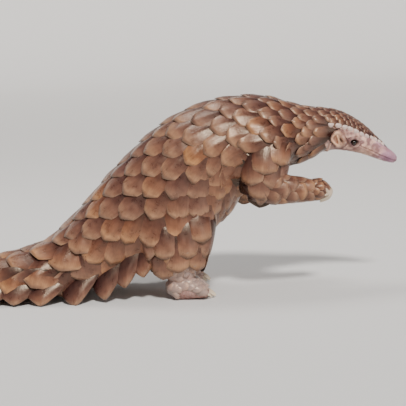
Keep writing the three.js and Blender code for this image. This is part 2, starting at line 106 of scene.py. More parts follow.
THIGH = [
    (-24, 42, 172, 12, 12, 8),
    (-20, 52, 150, 46, 44, 20),
    (-14, 62, 116, 60, 58, 26),
    (-14, 67, 84, 51, 53, 27),
    (-18, 68, 60, 41, 41, 26),
    (-10, 67, 44, 26, 26, 22),
    (-4, 66, 26, 15, 17, 15),
]
FOOT = [
    (-29, 66, 12, 6, 13, 9),
    (-22, 66, 16, 16, 17.5, 19),
    (-4, 66, 18, 21, 19.5, 23),
    (14, 66, 15, 15, 16.5, 25),
    (27, 66, 10, 9, 11.5, 22),
    (33, 66, 8, 4, 8.5, 15),
]
LEFT_ARM_SHIFT = (-20, -14)
LEFT_LEG_SHIFT = (-7, 0)
HAND_CLAW_RADIUS = 5.9
FOOT_CLAW_RADIUS = 4.8
HAND_CLAWS = [(49, 0.6), (54, 0.95), (61, 1.15), (68, 0.95), (74, 0.6)]
FOOT_CLAWS = [(50, 0.7, 6), (57, 0.95, 1), (65, 1, 0), (73, 0.95, 1), (80, 0.7, 6)]
EYE = (267, 21.5, 225)
EYE_RADIUS = 4.6
EAR = (242, 31, 231)

# The solids stand with their middle over the origin, so the eye tells how far the stations move.
eye_low, eye_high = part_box("eye_right")
SHIFT_X = (eye_low[0] + eye_high[0]) / 2 / MM - EYE[0]


def place(x, y, z):
    """A place given in the stations' millimetres, in metres in the frame."""
    return np.array([x + SHIFT_X, y, z]) * MM


def smooth(x, low, high):
    f = np.clip((x - low) / (high - low), 0, 1)
    return f * f * (3 - 2 * f)


def lerp(a, b, f):
    return a + (b - a) * f


def unit(vector):
    return vector / np.linalg.norm(vector)


def ring_faces(rings, sides, start=0):
    """The four-sided faces between each ring of vertices and the next."""
    faces = []
    for i in range(rings - 1):
        low, high = start + i * sides, start + (i + 1) * sides
        for j in range(sides):
            k = (j + 1) % sides
            faces.append((low + j, high + j, high + k, low + k))
    return faces


class Tube:
    """An oval tube through stations. Its surface is asked for by t along it and by angle from its top."""

    def __init__(self, stations, side=1, shift=(0, 0)):
        rows = np.array(stations, float)
        rows[:, 0] += SHIFT_X + shift[0]
        rows[:, 1] *= side
        rows[:, 2] += shift[1]
        self.rows = rows * MM
        self.end = len(rows) - 1

    def spline(self, columns, t):
        t = np.atleast_1d(np.asarray(t, float))
        i = np.clip(np.floor(t).astype(int), 0, self.end - 1)
        f = (t - i)[:, None]
        a, b, c, d = [self.rows[np.clip(i + k, 0, self.end)][:, columns] for k in (-1, 0, 1, 2)]
        f2, f3 = f * f, f * f * f
        return (
            (2 * f3 - 3 * f2 + 1) * b
            + (f3 - 2 * f2 + f) * (c - a) / 2
            + (3 * f2 - 2 * f3) * c
            + (f3 - f2) * (d - b) / 2
        )

    def middle(self, t):
        return self.spline([0, 1, 2], t)

    def sizes(self, t):
        """Half depth up, half depth down and half width."""
        return self.spline([3, 4, 5], t)

    def axes(self, t):
        step = 0.05
        t = np.atleast_1d(np.asarray(t, float))
        along = self.middle(np.minimum(self.end, t + step)) - self.middle(np.maximum(0, t - step))
        along /= np.linalg.norm(along, axis=1, keepdims=True)
        side = np.array([0, 1, 0]) - along * along[:, 1:2]
        side /= np.linalg.norm(side, axis=1, keepdims=True)
        return along, side, np.cross(along, side)

    def point(self, t, angle):
        t = np.atleast_1d(np.asarray(t, float))
        angle = np.atleast_1d(np.asarray(angle, float))
        _, side, up = self.axes(t)
        up_size, down_size, width = self.sizes(t).T
        c = np.cos(angle)
        depth = np.where(c > 0, up_size, down_size)
        return self.middle(t) + up * (c * depth)[:, None] + side * (np.sin(angle) * width)[:, None]

    def patch(self, t, angle):
        """A place on the surface, its change with t and with angle, and the way out of the tube."""
        h = 0.02
        points = self.point([t, t + h, t - h, t, t], [angle, angle, angle, angle + h, angle - h])
        per_t = (points[1] - points[2]) / (2 * h)
        per_angle = (points[3] - points[4]) / (2 * h)
        normal = unit(np.cross(per_angle, per_t))
        if normal @ (points[0] - self.middle(t)[0]) < 0:
            normal = -normal
        return points[0], per_t, per_angle, normal

    def angles_at(self, t, middle, distances):
        """The angles that lie at these distances round the section from the angle middle."""
        half = 72
        sweep = np.linspace(-math.pi, math.pi, 2 * half + 1)
        points = self.point(np.full(len(sweep), float(t)), middle + sweep)
        steps = np.linalg.norm(np.diff(points, axis=0), axis=1)
        walked = np.concatenate([[0], np.cumsum(steps)])
        walked -= walked[half]
        return np.interp(distances, walked, sweep)

    def mesh_parts(self, rings, sides):
        """Vertices and faces of the closed tube."""
        t = np.repeat(np.linspace(0, self.end, rings + 1), sides)
        angle = np.tile(np.arange(sides) * 2 * math.pi / sides, rings + 1)
        ends = [tuple(range(sides)), tuple(rings * sides + j for j in reversed(range(sides)))]
        return self.point(t, angle), ring_faces(rings + 1, sides) + ends


def shift_of(side, left_shift):
    return left_shift if side > 0 else (0, 0)


def limb_tubes(stations, left_shift):
    """The tube of one part of a limb, for each side."""
    return {side: Tube(stations, side, shift_of(side, left_shift)) for side in SIDES.values()}


trunk = Tube(TRUNK)
upper_arms = limb_tubes(UPPER_ARM, LEFT_ARM_SHIFT)
forearms = limb_tubes(FOREARM, LEFT_ARM_SHIFT)
hands = limb_tubes(HAND, LEFT_ARM_SHIFT)
thighs = limb_tubes(THIGH, LEFT_LEG_SHIFT)
feet = limb_tubes(FOOT, LEFT_LEG_SHIFT)


def add_object(name, data):
    thing = bpy.data.objects.new(name, data)
    bpy.context.scene.collection.objects.link(thing)
    return thing


def new_object(name, points, faces, material):
    mesh = bpy.data.meshes.new(name)
    mesh.from_pydata([tuple(p) for p in points], [], faces)
    mesh.validate()
    mesh.materials.append(material)
    return add_object(name, mesh)


def shade_smooth(thing):
    faces = thing.data.polygons
    faces.foreach_set("use_smooth", [True] * len(faces))


def store(thing, name, rows):
    """Keeps three numbers for each vertex, which its material reads by name."""
    data = thing.data.attributes.new(name, "FLOAT_VECTOR", "POINT")
    data.data.foreach_set("vector", rows.astype(np.float32).ravel())


# Materials
class Look:
    """A material in the making. Its methods take and give sockets; a socket's value can be a number too."""

    def __init__(self, name):
        self.material = bpy.data.materials.new(name)
        self.material.use_nodes = True
        self.nodes = self.material.node_tree.nodes

    def feed(self, node, inputs):
        for name, value in inputs.items():
            if isinstance(value, bpy.types.NodeSocket):
                self.material.node_tree.links.new(value, node.inputs[name])
            else:
                node.inputs[name].default_value = value

    def node(self, kind, inputs):
        node = self.nodes.new(kind)
        self.feed(node, inputs)
        return node

    def surface(self, inputs):
        """The finished material, once its shader is fed."""
        self.feed(self.nodes["Principled BSDF"], inputs)
        return self.material

    def attribute(self, name, output="Vector"):
        node = self.nodes.new("ShaderNodeAttribute")
        node.attribute_name = name
        return node.outputs[output]

    def split(self, vector):
        return self.node("ShaderNodeSeparateXYZ", {0: vector}).outputs

    def ramp(self, factor, *stops):
        node = self.node("ShaderNodeValToRGB", {0: factor})
        elements = node.color_ramp.elements
        while len(elements) < len(stops):
            elements.new(0.5)
        for element, (where, colour) in zip(elements, stops):
            element.position = where
            element.color = (*colour, 1)
        return node.outputs[0]

    def mix(self, factor, a, b, blend="MULTIPLY"):
        node = self.nodes.new("ShaderNodeMix")
        node.data_type = "RGBA"
        node.blend_type = blend
        first, second = [i for i, socket in enumerate(node.inputs) if socket.type == "RGBA"]
        self.feed(node, {0: factor, first: a, second: b})
        return next(socket for socket in node.outputs if socket.type == "RGBA")

    def multiply(self, a, b):
        node = self.node("ShaderNodeMath", {0: a, 1: b})
        node.operation = "MULTIPLY"
        return node.outputs[0]

    def cloud(self, vector, scale, detail):
        inputs = {"Vector": vector, "Scale": scale, "Detail": detail}
        return self.node("ShaderNodeTexNoise", inputs).outputs["Fac"]

    def streaks(self, vector, stretch):
        """Noise drawn out along one direction."""
        mapping = self.node("ShaderNodeMapping", {"Vector": vector, "Scale": stretch})
        return self.cloud(mapping.outputs[0], 1, 3)

    def bump(self, height, strength, distance, **under):
        inputs = {"Height": height, "Strength": strength, "Distance": distance}
        return self.node("ShaderNodeBump", {**inputs, **under}).outputs["Normal"]


def horn_material(name, paleness):
    """Glossy horn, tan to the tip, pale and worn at the free edge, finely striated; dark at the root as
    painted shade from the scale above, with a dark band at the very edge that is dark horn and a painted
    shadow line.
    """
    look = Look(name)
    lie = look.attribute("lie")
    along, wear, tone = look.split(look.attribute("form"))
    # Root to tip: painted shade where the scale above covers the root, then brown to tan, then a darker edge
    # that is part dark horn and part painted shadow line. The underside of each plate reads the dark root
    # end as painted shade.
    base = look.ramp(
        along,
        (0.0, (0.014, 0.005, 0.005)),
        (0.42, (0.038, 0.014, 0.013)),
        (0.60, (0.082, 0.034, 0.026)),
        (0.78, (0.165, 0.080, 0.053)),
        (0.92, (0.285, 0.165, 0.098)),
        (0.97, (0.160, 0.086, 0.060)),
        (1.0, (0.080, 0.040, 0.030)),
    )
    cloud = look.cloud(lie, 90, 5)
    clouded = look.ramp(cloud, (0.32, (0.74, 0.68, 0.70)), (0.68, (1.26, 1.22, 1.14)))
    mottled = look.mix(1.0, base, clouded)
    streaks = look.streaks(lie, (60, 1500, 60))
    streaked = look.ramp(streaks, (0.35, (0.72, 0.70, 0.68)), (0.65, (1.12, 1.10, 1.08)))
    grained = look.mix(0.6, mottled, streaked)
    toned = look.ramp(
        tone,
        (0.0, (0.62, 0.53, 0.68)),
        (0.4, (0.98, 0.94, 0.97)),
        (0.75, (1.30, 1.16, 0.98)),
        (1.0, (1.45, 1.16, 0.66)),
    )
    edge = look.ramp(wear, (0.55, (0, 0, 0)), (0.95, (1, 1, 1)))
    chipped = look.multiply(look.multiply(edge, cloud), 0.4)
    colour = look.mix(chipped, look.mix(1.0, grained, toned), (0.42, 0.29, 0.19, 1), "MIX")
    if paleness:
        colour = look.mix(paleness, colour, (0.80, 0.62, 0.56, 1), "MIX")
    ridges = look.bump(streaks, 0.35, 0.0006)
    return look.surface({
        "Base Color": colour,
        "Roughness": look.ramp(cloud, (0.3, (0.25, 0.25, 0.25)), (0.75, (0.40, 0.40, 0.40))),
        "Specular IOR Level": 0.72,
        "Specular Tint": (1.0, 0.80, 0.60, 1),
        "Subsurface Weight": 0.04,
        "Subsurface Radius": (0.004, 0.002, 0.001),
        "Normal": look.bump(cloud, 0.4, 0.0012, Normal=ridges),
    })


def skin_material():
    """Pinkish bare skin with fine creases and pores, in the tint of its region; the creases are darkened as
    painted shade.
    """
    look = Look("skin")
    everywhere = look.nodes.new("ShaderNodeTexCoord").outputs["Object"]
    mottled = look.ramp(
        look.cloud(everywhere, 55, 6),
        (0.3, (0.30, 0.185, 0.165)),
        (0.55, (0.47, 0.33, 0.29)),
        (0.75, (0.60, 0.46, 0.42)),
    )
    coloured = look.mix(1.0, mottled, look.attribute("tint", "Color"))
    cells = look.node("ShaderNodeTexVoronoi", {"Vector": everywhere, "Scale": 420})
    cells.feature = "DISTANCE_TO_EDGE"
    # Darker along the crease lines: painted shade in the fine creases.
    creases = look.ramp(cells.outputs["Distance"], (0.0, (0.62, 0.55, 0.55)), (0.14, (1, 1, 1)))
    pores = look.bump(look.cloud(everywhere, 700, 4), 0.35, 0.0005)
    return look.surface({
        "Base Color": look.mix(0.6, coloured, creases),
        "Roughness": 0.52,
        "Subsurface Weight": 0.12,
        "Subsurface Radius": (0.006, 0.0025, 0.0015),
        "Normal": look.bump(creases, 0.5, 0.0008, Normal=pores),
    })


def claw_material():
    """Pale horn, darker at the root, streaked along its length."""
    look = Look("claw")
    lie = look.attribute("lie")
    along = look.split(lie)[0]
    base = look.ramp(along, (0.0, (0.26, 0.16, 0.11)), (0.35, (0.52, 0.39, 0.28)), (1.0, (0.76, 0.64, 0.48)))
    streaks = look.streaks(lie, (2.5, 30, 30))
    lines = look.ramp(streaks, (0.35, (0.72, 0.68, 0.64)), (0.65, (1.05, 1.05, 1.05)))
    return look.surface({
        "Base Color": look.mix(0.8, base, lines),
        "Roughness": 0.34,
        "Coat Weight": 0.2,
        "Normal": look.bump(streaks, 0.3, 0.0004),
    })


def eye_material():
    """A dark wet eye whose brown iris only just shows."""
    look = Look("eye")
    iris = look.ramp(
        look.split(look.attribute("lie"))[0],
        (0.30, (0.002, 0.002, 0.002)),
        (0.36, (0.035, 0.018, 0.009)),
        (0.62, (0.018, 0.009, 0.005)),
        (0.72, (0.012, 0.009, 0.008)),
    )
    return look.surface({
        "Base Color": iris,
        "Roughness": 0.12,
        "Specular IOR Level": 0.35,
        "Coat Weight": 0.3,
        "Coat Roughness": 0.03,
    })


HORN = horn_material("horn", 0)
PALE_HORN = horn_material("pale horn", 0.8)
PAW_HORN = horn_material("paw horn", 0.3)
SKIN = skin_material()
CLAW = claw_material()
EYEBALL = eye_material()


# The skin: one closed surface over trunk, limbs and toes, whose points are then moved into shape
SKIN_VOXEL = 3.3 * MM
TOE_RADIUS = 6.0


def ball_parts(centre, radii, rows=10, columns=16):
    points = []
    for i in range(1, rows):
        a = math.pi * i / rows
        for j in range(columns):
            b = 2 * math.pi * j / columns
            out = np.array([math.sin(a) * math.cos(b), math.sin(a) * math.sin(b), math.cos(a)])
            points.append(centre + out * radii)
    top, bottom = len(points), len(points) + 1
    points.append(centre + np.array([0, 0, 1]) * radii)
    points.append(centre - np.array([0, 0, 1]) * radii)
    faces = ring_faces(rows - 1, columns)
    last = (rows - 2) * columns
    for j in range(columns):
        k = (j + 1) % columns
        faces.append((top, j, k))
        faces.append((bottom, last + k, last + j))
    return points, faces


def toe_parts():
    """A knuckle at the root of each claw."""
    parts = []
    for side in SIDES.values():
        dx, dz = shift_of(side, LEFT_ARM_SHIFT)
        for y, size in HAND_CLAWS:
            r = TOE_RADIUS * lerp(0.6, 1, size - 0.3)
            centre = place(209 + dx, y * side, 161 + dz)
            parts.append(ball_parts(centre, np.array([1.35, 0.75, 1]) * r * MM))
        dx, dz = shift_of(side, LEFT_LEG_SHIFT)
        for y, size, behind in FOOT_CLAWS:
            r = TOE_RADIUS * lerp(0.7, 1, size)
            centre = place(26 + dx - behind, y * side, 9.5 + dz)
            parts.append(ball_parts(centre, np.array([1.3, 0.78, 0.95]) * r * MM))
    return parts


def base_skin():
    parts = [trunk.mesh_parts(156, 64)]
    for side in (-1, 1):
        for tubes in (upper_arms, forearms, hands, thighs, feet):
            parts.append(tubes[side].mesh_parts(48, 40))
    parts += toe_parts()
    points, faces = [], []
    for part_points, part_faces in parts:
        start = len(points)
        points.extend(part_points)
        faces.extend(tuple(start + i for i in face) for face in part_faces)
    raw = new_object("skin", points, faces, SKIN)
    remesh = raw.modifiers.new("one surface", "REMESH")
    remesh.mode = "VOXEL"
    remesh.voxel_size = SKIN_VOXEL
    relax = raw.modifiers.new("relax", "SMOOTH")
    relax.factor = 0.5
    relax.iterations = 6
    depsgraph = bpy.context.evaluated_depsgraph_get()
    mesh = bpy.data.meshes.new_from_object(raw.evaluated_get(depsgraph))
    raw.modifiers.clear()
    raw.data = mesh
    return raw


def refine(thing, regions):
    """Cut the faces inside each region finer: a box in metres and a number of cuts."""
    mesh = bmesh.new()
    mesh.from_mesh(thing.data)
    for low, high, passes in regions:
        for _ in range(passes):
            inside = [
                face
                for face in mesh.faces
                if all(low[i] <= face.calc_center_median()[i] <= high[i] for i in range(3))
            ]
            edges = list({edge for face in inside for edge in face.edges})
            bmesh.ops.subdivide_edges(mesh, edges=edges, cuts=1, use_grid_fill=True, smooth=0.0)
    mesh.to_mesh(thing.data)
    mesh.free()


def vectors(rows, name):
    """A vector of each vertex, as an array of rows."""
    flat = np.empty(len(rows) * 3)
    rows.foreach_get(name, flat)
    return flat.reshape(-1, 3)


def wrinkle(points, frequency, seed):
    """Smooth noise at each point, from -1 to 1."""
    offset = Vector((seed * 3.1, seed * 1.7, seed * 2.3))
    return np.array([noise.noise(Vector(p) * frequency + offset) for p in points])


def hump(value, middle, width):
    """A smooth rise to 1 where the value is at the middle."""
    return np.exp(-(((value - middle) / width) ** 2))


def push(move, amount, along):
    """Adds to each point's move an amount in millimetres along a direction."""
    move += amount[:, None] * along * MM


def ear_parts(points, side):
    """The ear's thick rear rim, its wavy fold, its hollow and its whole area, each as a weight from 0 to 1,
    and how far each point is from its middle, where its outline is at 1."""
    near = (points - place(EAR[0], EAR[1] * side, EAR[2])) / MM
    up = near[:, 2] - 0.12 * near[:, 0]
    across = near[:, 0] + 0.25 * near[:, 2] + 1.3 * np.sin(up / 3.4 + 0.6)
    ring = np.sqrt((across / 9.0) ** 2 + (up / 11.5) ** 2)
    behind = smooth(0.25 * up / 11.5 - across / 9.0, -0.75, 0.45)
    rim = hump(ring, 0.98, 0.2) * behind
    bend = (across + 0.5 - 2.2 * np.sin(up / 4.2 + 1.0)) / 1.5
    fold = np.exp(-(bend**2) - (up / 8.0) ** 4)
    hollow = np.exp(-(((across - 3.6) / 2.0) ** 2) - ((up + 1.5) / 4.6) ** 2)
    return rim, fold, hollow, np.exp(-((ring / 1.25) ** 8)), ring


def mouth_gap(points, side):
    """How far each point lies from the line of the mouth, from under the snout to below the eye."""
    line = trunk.point(np.linspace(21.2, 25.6, 40), np.full(40, side * math.radians(112)))
    return np.linalg.norm(points[:, None, :] - line[None], axis=2).min(axis=1) / MM


JAW_FOLDS = (214, 220, 226)
HEAD_START = 222
FEET_START = -40
HANDS_START = 160
FEET_TOP = 45 * MM
HANDS_TOP = 190 * MM


def jaw_fold_gap(x, z, start):
    """How far each point lies before a slanting fold of the jaw, in millimetres."""
    return x - start - 0.3 * (z - 212)


def shape_head(points, normals, move):
    """Lids, ears, nostrils, lips and folds, as moves of the skin near each."""
    x, z = points[:, 0] / MM - SHIFT_X, points[:, 2] / MM
    for side in (-1, 1):
        outside = points[:, 1] * side > 8 * MM
        near = (points - place(EYE[0], EYE[1] * side, EYE[2])) / MM
        across, up = near[:, 0] + 0.3 * near[:, 2], near[:, 2] - 0.1 * near[:, 0]
        ring = np.sqrt((across / 6.0) ** 2 + (up / 4.9) ** 2)
        lid = hump(ring, 1.28, 0.26) * 2.4
        fold = -hump(ring, 1.85, 0.2) * 1.1
        pit = -np.clip(1.06 - ring, 0, 1) * 8.0
        brow = np.exp(-((up - 9.5) ** 2) / 8 - (across / 13) ** 2) * 1.6
        bag = np.exp(-((up + 9) ** 2) / 5 - (across / 10) ** 2)
        push(move, np.where(outside & (ring < 6), lid + fold + pit + brow + bag, 0), normals)

        rim, fold, hollow, area, ring = ear_parts(points, side)
        crease = -hump(ring, 1.4, 0.16) * 2.0
        outward = np.array([-0.22, side * 0.95, 0.1])
        shaped = rim * 9.0 + fold * 5.0 - hollow * 5.0 + area * 1.5 + crease
        push(move, np.where(outside & (ring < 3), shaped, 0), outward)

        for start in JAW_FOLDS:
            ridge = hump(jaw_fold_gap(x, z, start), 0, 1.7)
            push(move, ridge * smooth(z, 198, 206) * (1 - smooth(z, 222, 228)) * outside * 2.2, normals)

        nostril = place(333.5, 4.0 * side, 196.5)
        reach = np.linalg.norm((points - nostril) / MM * [1, 1, 1.25], axis=1)
        push(move, -hump(reach, 0, 1.7) * 3.4, normals)
        push(move, hump(reach, 3.2, 1.2) * 0.6, normals)

    for side in (-1, 1):
        gap = mouth_gap(points, side)
        push(move, -hump(gap, 0, 0.85) * 1.5, normals)
        push(move, hump(gap, 2.2, 1.0) * 0.5, normals)


def shape_skin(thing):
    """The head's forms, the folded paws and the loose skin between them. The floor stops all at 0."""
    mesh = thing.data
    points = vectors(mesh.vertices, "co")
    normals = vectors(mesh.vertex_normals, "vector")
    move = np.zeros_like(points)
    head = points[:, 0] > place(HEAD_START, 0, 0)[0]
    head_points, head_normals, head_move = points[head], normals[head], move[head]
    shape_head(head_points, head_normals, head_move)
    snout = smooth(head_points[:, 0] / MM - SHIFT_X, 262, 318)
    creases = np.abs(wrinkle(head_points, 190, 1)) + wrinkle(head_points, 420, 2) * 0.25
    push(head_move, -creases * lerp(0.9, 0.35, snout), head_normals)
    move[head] = head_move
    paws = (points[:, 2] < FEET_TOP) & (points[:, 0] > place(FEET_START, 0, 0)[0])
    paws |= (points[:, 0] > place(HANDS_START, 0, 0)[0]) & (points[:, 2] < HANDS_TOP) & ~head
    folds = np.abs(wrinkle(points[paws], 150, 3)) * 2.2 + np.abs(wrinkle(points[paws], 330, 4)) * 0.9
    move[paws] -= folds[:, None] * normals[paws] * MM
    rest = ~head & ~paws
    loose = wrinkle(points[rest], 60, 5) * 0.8 + 0.8
    move[rest] -= loose[:, None] * normals[rest] * MM
    points = points + move
    points[:, 2] = np.maximum(points[:, 2], 0)
    mesh.vertices.foreach_set("co", points.ravel())
    mesh.update()
    return points


def tint_skin(thing, points):
    """Regions of the skin: lavender snout, cream ears and cheeks, dark lid skin round the eyes, pale paws;
    painted shade round the eyes, in the ear's crease and hollow, along the mouth, under the snout's tip and
    in the paw folds.
    """
    x, y, z = (points / MM).T
    x = x - SHIFT_X
    tint = np.tile([0.72, 0.62, 0.60], (len(points), 1))

    def paint(weight, colour):
        nonlocal tint
        tint = lerp(tint, np.array(colour), np.clip(weight, 0, 1)[:, None])

    paint(smooth(x, 225, 250), (1.08, 0.90, 0.84))
    paint(smooth(x, 284, 316), (1.12, 0.86, 1.26))
    paint(smooth(x, 322, 334) * 0.6, (0.62, 0.50, 0.66))
    mottle = wrinkle(points, 150, 6)
    face = smooth(x, 232, 256) * (1 - smooth(x, 300, 325))
    paint(face * smooth(mottle, 0.0, 0.25) * 0.8, (1.85, 1.62, 1.42))
    paint(face * smooth(-mottle, 0.03, 0.22) * 0.75, (0.50, 0.30, 0.33))
    for side in (-1, 1):
        # Dark lid skin round each eye, with painted shade of the eye's pit.
        near_eye = np.sqrt(((x - EYE[0] + 1) / 11) ** 2 + ((z - EYE[2]) / 8.5) ** 2)
        here = y * side > 0
        paint(np.exp(-(near_eye**4)) * here * 0.85, (0.22, 0.15, 0.19))
        rim, fold, hollow, area, ring = ear_parts(points, side)
        paint(area * here * 0.9, (0.95, 0.72, 0.52))
        paint(rim * here, (2.4, 2.1, 1.5))
        paint(fold * here, (2.2, 1.9, 1.3))
        # Painted shade in the crease round the ear and deep in its hollow.
        paint(hump(ring, 1.4, 0.14) * here * 0.75, (0.34, 0.23, 0.24))
        paint(hollow * here, (0.12, 0.07, 0.07))
        for start in JAW_FOLDS:
            ridge = hump(jaw_fold_gap(x, z, start), 0, 1.6)
            paint(ridge * (z < 226) * (z > 200) * (np.abs(y) > 12) * here, (1.9, 1.72, 1.5))
    # Painted shade under the snout's tip: dark purple below it.
    under = np.exp(-(((x - 320) / 9) ** 2) - ((z - 196) / 6) ** 2)
    paint(under * 0.9, (0.40, 0.24, 0.46))
    # Painted shade along the sunk groove of the mouth.
    for side in (-1, 1):
        lips = np.zeros(len(x))
        lips[x > 230] = hump(mouth_gap(points[x > 230], side), 0, 1.3)
        paint(lips * 0.85, (0.30, 0.17, 0.20))
    cheek = np.exp(-(((x - 285) / 18) ** 2) - ((z - 209) / 8) ** 2)
    paint(cheek * 0.7, (1.25, 1.0, 0.80))
    paint(((z < 42) & (x > FEET_START)) * 0.9, (0.92, 0.74, 0.70))
    fingers = (x > 178) & (z < 185)
    paint(fingers * 0.8, (0.84, 0.62, 0.56))
    # Painted shade in the folds of the paws and fingers, darkest where the skin is pushed in deepest.
    creased = smooth(np.abs(wrinkle(points, 150, 3)), 0.22, 0.6) * ((z < 45) | fingers)
    paint(creased * 0.6, (0.50, 0.32, 0.30))
    colours = thing.data.attributes.new("tint", "FLOAT_COLOR", "POINT")
    colours.data.foreach_set("color", np.hstack([tint, np.ones((len(tint), 1))]).ravel())


def make_skin():
    skin = base_skin()
    refine(
        skin,
        [
            (place(226, -60, 150), place(345, 60, 300), 2),
            (place(150, -100, 120), place(232, 100, 186), 1),
            (place(-50, -100, -5), place(45, 100, 46), 1),
        ],
    )
    tint_skin(skin, shape_skin(skin))
    shade_smooth(skin)
    return skin


# Scales
FINE, MIDDLING, COARSE = 12, 8, 6
ROUNDNESS = 0.52
PATCH = 0.003


def bent_grid(cells):
    """A square grid bent towards a disc, with the faces of its top, and its rim in order."""
    steps = np.linspace(-1, 1, cells + 1)
    p, q = np.meshgrid(steps, steps, indexing="ij")
    x = (p * np.sqrt(1 - ROUNDNESS * q * q / 2)).ravel()
    y = (q * np.sqrt(1 - ROUNDNESS * p * p / 2)).ravel()
    reach = np.maximum(np.abs(p), np.abs(q)).ravel()
    n = cells + 1
    faces = []
    for i in range(cells):
        for j in range(cells):
            faces.append((i * n + j, (i + 1) * n + j, (i + 1) * n + j + 1, i * n + j + 1))
    rim = [i * n for i in range(cells)] + [cells * n + j for j in range(cells)]
    rim += [i * n + cells for i in range(cells, 0, -1)] + [j for j in range(cells, 0, -1)]
    return x, y, reach, faces, rim


GRIDS = {cells: bent_grid(cells) for cells in (FINE, MIDDLING, COARSE)}
chance = random.Random(SEED)


def closed_plate(cells):
    """The faces of a closed plate of two grid layers, the upper one first."""
    x, _, _, faces, rim = GRIDS[cells]
    n = len(x)
    made = list(faces)
    made += [tuple(n + i for i in reversed(face)) for face in faces]
    for a, b in zip(rim, rim[1:] + rim[:1]):
        made.append((a, n + a, n + b, b))
    return made


class Coat:
    """Gathers scales that become one joined piece."""

    def __init__(self, name, material):
        self.name = name
        self.material = material
        self.plates, self.faces, self.rounded = [], [], []
        self.count = 0

    def add(self, points, cells, lie, form, patch):
        faces = closed_plate(cells)
        layers = 2 * cells * cells
        self.plates.append((points, lie, form, patch))
        self.faces.extend([tuple(self.count + i for i in face) for face in faces])
        self.rounded.extend([True] * layers + [False] * (len(faces) - layers))
        self.count += len(points)

    def build(self):
        points, lie, form, where = [np.vstack(rows) for rows in zip(*self.plates)]
        thing = new_object(self.name, points, self.faces, self.material)
        mesh = thing.data
        store(thing, "lie", lie)
        store(thing, "form", form)
        corners = np.empty(len(mesh.loops), int)
        mesh.loops.foreach_get("vertex_index", corners)
        uv = mesh.uv_layers.new(name="OFBake")
        uv.data.foreach_set("uv", where[corners].ravel())
        mesh.polygons.foreach_set("use_smooth", self.rounded)
        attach(thing, "root")


FLOOR_GAP = 0.2 * MM


def add_plate(coat, cells, upper, lower, u, v, s, wear, tone, root, turn=0.0):
    """Puts one closed plate in a coat, with what its colour is worked out from."""
    x, y, _, _, _ = GRIDS[cells]
    n = len(x)
    points = np.vstack([upper, lower])
    points[:, 2] = np.maximum(points[:, 2], FLOOR_GAP)
    number = chance.random()
    lie = np.column_stack([u, v, np.full(n, number)])
    over = np.column_stack([s, wear, np.full(n, tone)])
    # The lower layer reads the dark root end of the horn colour at half tone: painted shade under each plate
    # and down its sides.
    under = np.column_stack([s * 0.25, np.zeros(n), np.full(n, tone * 0.5)])
    spread = np.column_stack([-x * math.cos(turn), y])
    patch = np.vstack([np.array(root) + spread * PATCH / 2, np.array(root) + spread * PATCH / 6])
    coat.add(points, cells, np.vstack([lie, lie]), np.vstack([over, under]), patch)


HALF_SLICE = 6 * MM


def tube_holds(tube, points, margin, first, last, count):
    """Which places lie inside one of the slices that a tube is cut into between two places along it."""
    samples = np.linspace(first, last, count)
    along, side, up = tube.axes(samples)
    away = np.atleast_2d(points)[:, None, :] - tube.middle(samples)[None]
    sizes = tube.sizes(samples) + margin
    a = np.einsum("pij,ij->pi", away, along)
    u = np.einsum("pij,ij->pi", away, up)
    w = np.einsum("pij,ij->pi", away, side)
    depth = np.where(u > 0, sizes[:, 0], sizes[:, 1])
    return ((np.abs(a) < HALF_SLICE) & ((u / depth) ** 2 + (w / sizes[:, 2]) ** 2 < 1)).any(axis=1)


def inside_trunk(point, margin):
    return bool(tube_holds(trunk, point, margin, 5, 19, 80)[0])


COVER_STEPS = np.arange(0, 42, 3) * MM
DEEPEST_COVER = 20 * MM
COVER_START = 8.5


def limb_cover(points, normal):
    """How far out along the normal each place on the trunk has to move to lie on the limbs over it."""
    side = -1 if points[0, 1] < 0 else 1
    probes = (points[:, None, :] + normal * COVER_STEPS[None, :, None]).reshape(-1, 3)
    held = np.zeros(len(probes), bool)
    for tube in (upper_arms[side], thighs[side]):
        held |= tube_holds(tube, probes, 0, 0.6, tube.end - 0.6, 20)
    held = held.reshape(len(points), -1)
    steps_in = held.shape[1] - np.argmax(held[:, ::-1], axis=1)
    return np.where(held.any(axis=1), steps_in * COVER_STEPS[1], 0)


def ground_under(tube, t, angle, patch, step, length, cells):
    """How high the tube, or a limb that lies over it, is at each place of a scale's flat base."""
    x, y, _, _, _ = GRIDS[cells]
    origin, per_t, per_angle, normal = patch
    tt, ta, aa = per_t @ per_t, per_t @ per_angle, per_angle @ per_angle
    det = tt * aa - ta * ta
    st, sa = step @ per_t, step @ per_angle
    away = np.clip((st * aa - sa * ta) / det, -1.2, 1.2)
    there = tube.point(np.clip(t + away, 0, tube.end), angle + (sa * tt - st * ta) / det)
    ground = np.clip((there - origin) @ normal, -0.45 * length, 0.2 * length)
    if tube is trunk and t > COVER_START:
        cover = limb_cover(origin + step + normal * ground[:, None], normal)
        if cover.any():
            bends = np.column_stack([np.ones(len(x)), x, y, x * x, x * y, y * y])
            shallow = np.minimum(cover, DEEPEST_COVER)
            fitted = bends @ np.linalg.lstsq(bends, shallow, rcond=None)[0]
            ground = ground + np.clip(fitted, 0, DEEPEST_COVER)
    return ground


